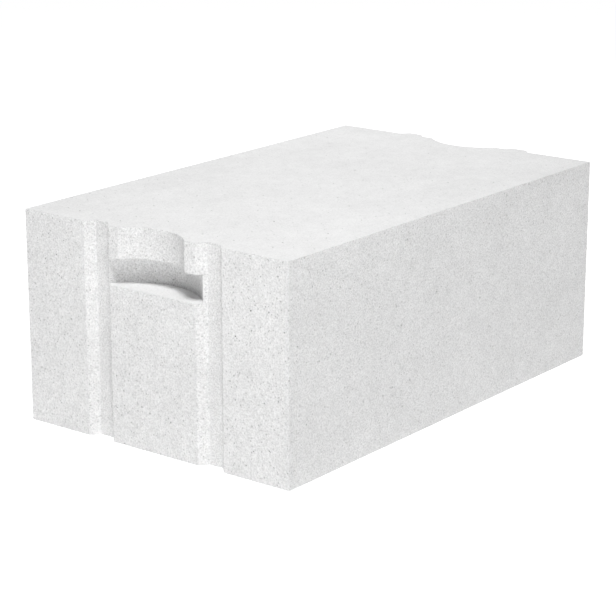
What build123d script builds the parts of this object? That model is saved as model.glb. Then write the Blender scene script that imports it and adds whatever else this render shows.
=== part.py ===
"""Wall block of autoclaved aerated concrete, one solid.

One head has two upright grooves and the other has two tongues that enter the next block's grooves.
A stepped cutter has milled a grip pocket into each head: a wide slot for the fingers, under a narrower neck that
opens in the top face.

+X runs along the block towards the tongues, +Y across the wall and +Z up. The origin is the centre of the bed face,
midway between the two head faces.
"""

import os

from build123d import *

# The block between its flat faces, in millimetres
block_length = 599.0  # head face to head face, tongues not counted
block_width = 375.0  # the thickness of the wall
block_height = 249.0  # one course without its thin bed joint

# The grooves of one head
groove_spacing = 160.0  # between their centre lines
groove_mouth_width = 36.0
groove_floor_width = 18.0
groove_depth = 10.0
groove_lip_radius = 3.0
groove_root_radius = 4.0

# The room that a tongue has in the next block's groove
crest_clearance = 1.0
flank_clearance = 0.5

# The grip pocket of each head, as its upright cutter leaves it
cutter_offset = 46.0  # from the head face out to the cutter's axis
neck_radius = 66.0
disc_radius = 85.0
ledge_drop = 35.0  # from the top face down to the ledge over the slot
slot_height = 32.0
cut_overrun = 5.0  # how far the neck's cut runs out above the top face

# A tongue has the groove's own flank slope, set back by the clearances
flank_run = (groove_mouth_width - groove_floor_width) / 2
tongue_height = groove_depth - crest_clearance
tongue_base_width = groove_mouth_width - 2 * flank_clearance
tongue_crest_width = tongue_base_width - 2 * flank_run * tongue_height / groove_depth

# Places that follow from the sizes above
groove_head = -block_length / 2
tongue_head = block_length / 2
ledge_level = block_height - ledge_drop
slot_floor_level = ledge_level - slot_height
cutter_spacing = block_length + 2 * cutter_offset


def key_profile(base_width, crest_width, reach, mode):
    """The trapezium of a groove or a tongue, from the head face to its floor or crest, at each centre line."""
    with GridLocations(0, groove_spacing, 1, 2):
        Polygon(
            (0, -base_width / 2),
            (reach, -crest_width / 2),
            (reach, crest_width / 2),
            (0, base_width / 2),
            align=None,
            mode=mode,
        )


with BuildPart() as block:
    # The plan of the block with its grooves and tongues, extruded to one course
    with BuildSketch() as plan:
        Rectangle(block_length, block_width)
        with Locations((groove_head, 0)):
            key_profile(groove_mouth_width, groove_floor_width, groove_depth, Mode.SUBTRACT)
        with Locations((tongue_head, 0)):
            key_profile(tongue_base_width, tongue_crest_width, tongue_height, Mode.ADD)

        # Corners of the keys only: the block's own four corners lie on its sides and stay sharp
        key_corners = plan.vertices().filter_by_position(
            Axis.Y, -block_width / 2, block_width / 2, inclusive=(False, False)
        )
        rows = key_corners.group_by(Axis.X)
        groove_lips, groove_roots, tongue_roots, tongue_crests = rows
        fillet(groove_lips + tongue_roots, groove_lip_radius)
        fillet(groove_roots + tongue_crests, groove_root_radius)
    extrude(amount=block_height)

    # The cutter's disc leaves the slot, and its neck the notch from the ledge up through the top face
    with BuildSketch(Plane.XY.offset(slot_floor_level)):
        with GridLocations(cutter_spacing, 0, 2, 1):
            Circle(disc_radius)
    extrude(amount=slot_height, mode=Mode.SUBTRACT)
    with BuildSketch(Plane.XY.offset(ledge_level)):
        with GridLocations(cutter_spacing, 0, 2, 1):
            Circle(neck_radius)
    extrude(amount=ledge_drop + cut_overrun, mode=Mode.SUBTRACT)

block.part.label = "block"

os.makedirs("parts", exist_ok=True)
export_step(block.part, "parts/block.step")
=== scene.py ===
import math

import bmesh
import bpy
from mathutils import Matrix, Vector


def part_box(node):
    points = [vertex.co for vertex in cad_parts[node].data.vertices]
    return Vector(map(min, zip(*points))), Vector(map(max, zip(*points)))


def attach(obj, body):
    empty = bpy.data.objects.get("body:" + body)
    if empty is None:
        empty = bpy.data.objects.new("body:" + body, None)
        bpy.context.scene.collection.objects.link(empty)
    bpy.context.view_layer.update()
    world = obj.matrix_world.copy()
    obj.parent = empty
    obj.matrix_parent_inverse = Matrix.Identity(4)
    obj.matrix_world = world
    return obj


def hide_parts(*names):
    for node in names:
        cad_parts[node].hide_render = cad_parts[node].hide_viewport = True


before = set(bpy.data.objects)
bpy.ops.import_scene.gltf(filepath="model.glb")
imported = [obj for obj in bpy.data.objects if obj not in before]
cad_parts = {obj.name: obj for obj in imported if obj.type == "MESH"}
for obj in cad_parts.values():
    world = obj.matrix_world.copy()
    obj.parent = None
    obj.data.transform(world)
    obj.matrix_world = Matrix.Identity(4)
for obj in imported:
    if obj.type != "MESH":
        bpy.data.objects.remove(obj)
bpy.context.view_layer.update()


# The body is one casting of aerated concrete, cut from the risen cake by taut wires and milled at both heads.
# It is a copy of the solid, with its flat faces ruled into squares so that a pore cuts only its own square.
MM = 0.001
ruled_square = 24 * MM
same_point = 0.001 * MM
flat_angle = math.radians(0.5)

block_low, block_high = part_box("block")
body_form = bmesh.new()
body_form.from_mesh(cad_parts["block"].data)
bmesh.ops.remove_doubles(body_form, verts=body_form.verts, dist=same_point)
bmesh.ops.dissolve_limit(body_form, angle_limit=flat_angle, verts=body_form.verts, edges=body_form.edges)
for axis in range(3):
    across = Vector([float(axis == other) for other in range(3)])
    squares = math.ceil((block_high[axis] - block_low[axis]) / ruled_square)
    for cut in range(1, squares):
        everything = [*body_form.verts, *body_form.edges, *body_form.faces]
        cut_place = block_low.lerp(block_high, cut / squares)
        bmesh.ops.bisect_plane(body_form, geom=everything, plane_co=cut_place, plane_no=across)

block_mesh = bpy.data.meshes.new("block_body")
body_form.to_mesh(block_mesh)
body_form.free()
block = bpy.data.objects.new("aerated_block", block_mesh)
bpy.context.scene.collection.objects.link(block)


# The finish is bare aerated concrete: a white paste of lime, cement and ground sand with a faint cloudiness.
# It is full of gas bubbles, which lie more open on the upright faces than on the bed faces.
# Bubbles too small to be modelled are embossed, and drawn as painted shade in their hollows.
paste_white = (0.85, 0.85, 0.85)
paste_roughness = 0.95
paste_specular = 0.2
cloud_sizes_and_shares = [(70 * MM, 0.12), (16 * MM, 0.11)]
sand_size = 1.8 * MM
sand_shade_share = 0.62
sand_height = 0.10 * MM
noise_octaves, noise_middle = 3.0, 0.5
# Spacing, least and most radius as shares of it, and how much painted shade darkens the deepest bubble
bubble_spacings_and_shares = [(1.9 * MM, 0.20, 0.55, 0.14), (4.4 * MM, 0.08, 0.24, 0.26)]
bubble_depth_share = 0.3
upright_openness, bed_openness = 1.15, 0.45
# The modelled pits get painted shade: full at this depth, and this share darker.
shaded_pit = 1.2 * MM
pit_shade_share = 0.22


class Socket:
    """One output of a node tree. Arithmetic on sockets adds Math nodes, and node() adds any other node."""

    def __init__(self, tree, output=None):
        self.tree = tree
        self.output = output

    def node(self, kind, settings=None, inputs=None):
        """Adds a node: its settings first, then the values or links of its sockets, by name or by number."""
        made = self.tree.nodes.new(kind)
        for name, value in (settings or {}).items():
            setattr(made, name, value)
        for name, value in (inputs or {}).items():
            if isinstance(value, Socket):
                self.tree.links.new(value.output, made.inputs[name])
            else:
                made.inputs[name].default_value = value
        return Socket(self.tree, next((output for output in made.outputs if output.enabled), None))

    def out(self, name):
        """Another output of the same node."""
        return Socket(self.tree, self.output.node.outputs[name])

    def math(self, operation, *others):
        """A Math node on this value and the others."""
        return self.node("ShaderNodeMath", {"operation": operation}, dict(enumerate((self, *others))))

    def scaled(self, vector):
        """The vector, times this value."""
        return self.node("ShaderNodeVectorMath", {"operation": "SCALE"}, {0: vector, "Scale": self})

    def clamped(self):
        """The value, held between 0 and 1."""
        return self.node("ShaderNodeClamp", None, {"Value": self})

    def __add__(self, other):
        return self.math("ADD", other)

    __radd__ = __add__

    def __sub__(self, other):
        return self.math("SUBTRACT", other)

    def __rsub__(self, other):
        return self.math("MULTIPLY_ADD", -1.0, other)

    def __mul__(self, other):
        return self.math("MULTIPLY", other)

    __rmul__ = __mul__

    def __truediv__(self, other):
        return self.math("DIVIDE", other)

    def __pow__(self, other):
        return self.math("POWER", other)

    def __gt__(self, other):
        return self.math("GREATER_THAN", other)

    def __lt__(self, other):
        return self.math("LESS_THAN", other)


concrete = bpy.data.materials.new("aerated_concrete")
concrete.use_nodes = True
concrete.node_tree.nodes.clear()
finish = Socket(concrete.node_tree)
spot = finish.node("ShaderNodeTexCoord").out("Object")


def noise(size):
    """A cloudy pattern with patches of that size, from about -0.5 to 0.5."""
    inputs = {"Vector": spot, "Scale": 1 / size, "Detail": noise_octaves}
    return finish.node("ShaderNodeTexNoise", None, inputs) - noise_middle


def bubble_bowls(spacing, least, most):
    """Gas bubbles that the surface cuts open, one to a cell: each bowl's depth as a share of the deepest."""
    cell = finish.node("ShaderNodeTexVoronoi", {"feature": "F1"}, {"Vector": spot, "Scale": 1 / spacing})
    draw = finish.node("ShaderNodeSeparateColor", None, {"Color": cell.out("Color")})
    radius = least + (most - least) * draw
    return (radius ** 2 - cell ** 2).math("MAXIMUM", 0.0) ** 0.5 / most


def marked(name):
    """A value that the body's own faces or points carry."""
    return finish.node("ShaderNodeAttribute", {"attribute_name": name}).out("Fac")


openness = upright_openness + (bed_openness - upright_openness) * marked("bed_facing")
sand = openness * noise(sand_size)
tone = 1 + sand_shade_share * sand
relief = sand_height * sand
for size, share in cloud_sizes_and_shares:
    tone = tone * (1 + share * noise(size))
# Each drawn bubble gets painted shade, darkest in its middle, and is embossed as a hollow.
for spacing, least, most, shade in bubble_spacings_and_shares:
    bowls = openness * bubble_bowls(spacing, least, most)
    tone = tone * (1 - shade * bowls)
    relief = relief - bubble_depth_share * most * spacing * bowls
# Painted shade: the modelled pits are darkened by their depth, as shade gathers in them.
tone = tone * (1 - pit_shade_share * (marked("pit_depth") / shaded_pit).clamped())
embossed = finish.node("ShaderNodeBump", None, {"Height": relief, "Distance": 1.0, "Strength": 1.0})
surface = finish.node(
    "ShaderNodeBsdfPrincipled",
    None,
    {
        "Base Color": tone.scaled(paste_white),
        "Roughness": paste_roughness,
        "Specular IOR Level": paste_specular,
        "Normal": embossed,
    },
)
finish.node("ShaderNodeOutputMaterial", None, {"Surface": surface})


# The open pores are the larger gas bubbles, cut through by the wires at any height: round pits of up to 3 mm.
# The arrises have lost small crumbs, as the material is soft and brittle. The front foot has a slight knock.
pore_sizes = {
    "Large Spacing": ("NodeSocketFloat", 18 * MM),
    "Least Large": ("NodeSocketFloat", 0.9 * MM),
    "Most Large": ("NodeSocketFloat", 1.5 * MM),
    "Small Spacing": ("NodeSocketFloat", 9.8 * MM),
    "Least Small": ("NodeSocketFloat", 0.65 * MM),
    "Most Small": ("NodeSocketFloat", 1.1 * MM),
    "Crumb Spacing": ("NodeSocketFloat", 5 * MM),
    "Least Crumb Gap": ("NodeSocketFloat", 4 * MM),
    "Least Crumb": ("NodeSocketFloat", 0.2 * MM),
    "Most Crumb": ("NodeSocketFloat", 0.9 * MM),
    "Knock Radius": ("NodeSocketFloat", 30 * MM),
    "Knock Centre": ("NodeSocketVector", block_low - Vector((16.3, 16.3, 16.3)) * MM),
    "Seed": ("NodeSocketInt", 7),
    "Finish": ("NodeSocketMaterial", concrete),
}
most_pores_a_square_metre = 40000.0
lowest_centre_share, highest_centre_share = -0.6, 0.5
pore_lean, crumb_lean = 2, 3
large_draw, small_draw, crumb_draw = 10, 20, 30
crumb_stretch = 1.6
arris_angle = math.radians(40)
sharp_angle = math.radians(25)
square_facing = 0.9999
pore_rounds, knock_rounds = 1, 3
plain_sides, plain_rings = 4, 2

pores = bpy.data.node_groups.new("open_pores", "GeometryNodeTree")
pores.interface.new_socket("Geometry", in_out="OUTPUT", socket_type="NodeSocketGeometry")
pores.interface.new_socket("Body", in_out="INPUT", socket_type="NodeSocketGeometry")
for name, (kind, _) in pore_sizes.items():
    pores.interface.new_socket(name, in_out="INPUT", socket_type=kind)
given = Socket(pores).node("NodeGroupInput")
whole_body = given.out("Body")


def chance(draw, kind="FLOAT"):
    """A random value from 0 to 1 for each pore or crumb. Each draw is another one."""
    return given.node("FunctionNodeRandomValue", {"data_type": kind}, {"Seed": given.out("Seed") + draw})


def radius_of(size, draw, lean):
    """A radius for each bubble, from the least to the most of its kind. The lean makes small ones common."""
    least, most = given.out(f"Least {size}"), given.out(f"Most {size}")
    return least + (most - least) * chance(draw) ** lean


def bubbles(points, ball, turn, scale):
    """A bubble on each point."""
    inputs = {"Points": points, "Instance": ball, "Rotation": turn, "Scale": scale}
    balls = given.node("GeometryNodeInstanceOnPoints", None, inputs)
    return given.node("GeometryNodeRealizeInstances", None, {"Geometry": balls})


def pore_bubbles(size, ball, draw):
    """Bubbles of one kind, spread evenly over the faces and cut by them at any height."""
    spread = given.node(
        "GeometryNodeDistributePointsOnFaces",
        {"distribute_method": "POISSON"},
        {
            "Mesh": whole_body,
            "Distance Min": given.out(f"{size} Spacing"),
            "Density Max": most_pores_a_square_metre,
            "Seed": given.out("Seed") + draw,
        },
    )
    radius = radius_of(size, draw + 1, pore_lean)
    rise = lowest_centre_share + (highest_centre_share - lowest_centre_share) * chance(draw + 2)
    lift = (radius * rise).scaled(spread.out("Normal"))
    centres = given.node("GeometryNodeSetPosition", None, {"Geometry": spread, "Offset": lift})
    part_turn = chance(draw + 3, "FLOAT_VECTOR")
    turn = given.node("ShaderNodeVectorMath", {"operation": "SCALE"}, {0: part_turn, "Scale": math.tau})
    return bubbles(centres, ball, turn, radius)


round_ball = given.node("GeometryNodeMeshIcoSphere", None, {"Radius": 1.0, "Subdivisions": pore_rounds})
plain_ball = given.node(
    "GeometryNodeMeshUVSphere", None, {"Radius": 1.0, "Segments": plain_sides, "Rings": plain_rings}
)
large_pores = pore_bubbles("Large", round_ball, large_draw)
small_pores = pore_bubbles("Small", plain_ball, small_draw)

arris = given.node("GeometryNodeInputMeshEdgeAngle").out("Signed Angle") > arris_angle
arris_lines = given.node("GeometryNodeMeshToCurve", None, {"Mesh": whole_body, "Selection": arris})
along_arris = given.node(
    "GeometryNodeCurveToPoints",
    {"mode": "LENGTH"},
    {"Curve": arris_lines, "Length": given.out("Crumb Spacing")},
)
arris_points = given.node(
    "GeometryNodeMergeByDistance", None, {"Geometry": along_arris, "Distance": given.out("Least Crumb Gap")}
)
crumb_radius = radius_of("Crumb", crumb_draw, crumb_lean)
crumb_size = given.node(
    "ShaderNodeCombineXYZ", None, {"X": crumb_radius, "Y": crumb_radius, "Z": crumb_radius * crumb_stretch}
)
crumbs = bubbles(arris_points, round_ball, along_arris.out("Rotation"), crumb_size)

knock_ball = given.node(
    "GeometryNodeMeshIcoSphere", None, {"Radius": given.out("Knock Radius"), "Subdivisions": knock_rounds}
)
knock = given.node(
    "GeometryNodeTransform", None, {"Geometry": knock_ball, "Translation": given.out("Knock Centre")}
)


def marking(geometry, domain, name, value):
    """The geometry with a value that each of its faces or points carries."""
    inputs = {"Geometry": geometry, "Name": name, "Value": value}
    return given.node("GeometryNodeStoreNamedAttribute", {"data_type": "FLOAT", "domain": domain}, inputs)


opened = whole_body
for bites in (small_pores, large_pores, crumbs, knock):
    opened = given.node(
        "GeometryNodeMeshBoolean",
        {"operation": "DIFFERENCE", "solver": "MANIFOLD"},
        {"Mesh 1": opened, "Mesh 2": marking(bites, "FACE", "bitten", 1.0)},
    )
depth = given.node("GeometryNodeProximity", {"target_element": "FACES"}, {0: whole_body}).out("Distance")
facing = given.node("ShaderNodeSeparateXYZ", None, {"Vector": given.node("GeometryNodeInputNormal")})
opened = marking(opened, "POINT", "pit_depth", depth)
opened = marking(opened, "FACE", "bed_facing", facing.out("Z") ** 2)

bitten = given.node("GeometryNodeInputNamedAttribute", {"data_type": "FLOAT"}, {"Name": "bitten"})
rim = bitten * (1 - bitten)
corner = (1 - bitten) * (given.node("GeometryNodeInputMeshEdgeAngle") > sharp_angle)
squareness = facing.math("ABSOLUTE").math("MAXIMUM", facing.out("Y").math("ABSOLUTE"))
squareness = squareness.math("MAXIMUM", facing.out("Z").math("ABSOLUTE"))
round_face = bitten + (squareness < square_facing)
rounded = given.node(
    "GeometryNodeSetShadeSmooth", {"domain": "FACE"}, {"Geometry": opened, "Shade Smooth": round_face}
)
edged = given.node(
    "GeometryNodeSetShadeSmooth",
    {"domain": "EDGE"},
    {"Geometry": rounded, "Selection": rim + corner, "Shade Smooth": False},
)
realized = given.node("GeometryNodeRealizeInstances", None, {"Geometry": edged})
dressed = given.node("GeometryNodeSetMaterial", None, {"Geometry": realized, "Material": given.out("Finish")})
given.node("NodeGroupOutput", None, {"Geometry": dressed})

opening = block.modifiers.new("open_pores", "NODES")
opening.node_group = pores
for item in pores.interface.items_tree:
    if item.name in pore_sizes:
        opening[item.identifier] = pore_sizes[item.name][1]
bpy.context.view_layer.update()
evaluated = block.evaluated_get(bpy.context.evaluated_depsgraph_get())
block.data = bpy.data.meshes.new_from_object(evaluated)
block.modifiers.clear()
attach(block, "root")
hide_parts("block")


# The floor is a plain pale studio table, lit from below so that it stays white around the block.
# It is matt, and it runs far past the picture on every side.
floor_half = 30.0
table_grey = (0.48, 0.48, 0.48, 1)
glow_white = (1, 1, 1, 1)
table_glow = 0.975

floor_mesh = bpy.data.meshes.new("floor")
floor_corners = [(-1, -1), (1, -1), (1, 1), (-1, 1)]
floor_mesh.from_pydata([(x * floor_half, y * floor_half, 0) for x, y in floor_corners], [], [(0, 1, 2, 3)])
floor = bpy.data.objects.new("floor", floor_mesh)
bpy.context.scene.collection.objects.link(floor)
pale = bpy.data.materials.new("pale_floor")
pale.use_nodes = True
pale.node_tree.nodes.clear()
table = Socket(pale.node_tree)
table_face = table.node(
    "ShaderNodeBsdfPrincipled",
    None,
    {
        "Base Color": table_grey,
        "Roughness": 1.0,
        "Specular IOR Level": 0.0,
        "Emission Color": glow_white,
        "Emission Strength": table_glow,
    },
)
table.node("ShaderNodeOutputMaterial", None, {"Surface": table_face})
floor_mesh.materials.append(pale)


# The camera stands where the photograph was taken from, a little above the block and facing its near corner.
# Its lens is long, and its picture is square. Picture and focal length are in pixels, angles in radians.
photo_side = 616
focal_length = 2108.38
film_width = 36
yaw = 0.6582
pitch = 0.2839
stand_right, stand_back, stand_above = 19.5723 * MM, 2063.7779 * MM, 553.2926 * MM

near_corner = Vector((block_low.x, block_low.y, block_high.z))
rightward = Vector((math.sin(yaw), -math.cos(yaw), 0))
forward = Vector((math.cos(yaw), math.sin(yaw), 0))
upward = Vector((0, 0, 1))
camera_data = bpy.data.cameras.new("photo_camera")
camera_data.sensor_width = film_width
camera_data.lens = film_width * focal_length / photo_side
camera = bpy.data.objects.new("photo_camera", camera_data)
bpy.context.scene.collection.objects.link(camera)
camera.location = near_corner + stand_right * rightward - stand_back * forward + stand_above * upward
gaze = forward * math.cos(pitch) - upward * math.sin(pitch)
camera.rotation_euler = gaze.to_track_quat("-Z", "Y").to_euler()
bpy.context.scene.camera = camera


# The light is three round softboxes: one over the front, a lower one behind and a weak one by the camera.
# The room around gives no light of its own, so that the slots of the grips keep their shade.
# Bearing to the left of the camera and height in degrees, distance and width in metres, power in watts
softboxes = {
    "front_light": (3.5, 60, 2.2, 0.7, 34.8),
    "back_light": (180, 40, 1.8, 1.0, 16.4),
    "camera_light": (0, 12, 2.0, 0.8, 2.2),
}
block_middle = (block_low + block_high) / 2
for name, (bearing, height, distance, width, power) in softboxes.items():
    lamp = bpy.data.lights.new(name, "AREA")
    lamp.shape = "DISK"
    lamp.size = width
    lamp.energy = power
    holder = bpy.data.objects.new(name, lamp)
    bpy.context.scene.collection.objects.link(holder)
    turn, rise = math.radians(bearing), math.radians(height)
    level = -math.cos(turn) * forward - math.sin(turn) * rightward
    ray = math.cos(rise) * level + math.sin(rise) * upward
    holder.location = block_middle + distance * ray
    holder.rotation_euler = (-ray).to_track_quat("-Z", "Y").to_euler()

world = bpy.data.worlds.new("studio")
world.use_nodes = True
world.node_tree.nodes["Background"].inputs["Color"].default_value = glow_white
bpy.context.scene.world = world
for kind in ("diffuse", "glossy", "transmission", "scatter"):
    setattr(world.cycles_visibility, kind, False)
bpy.context.scene.view_settings.view_transform = "Standard"
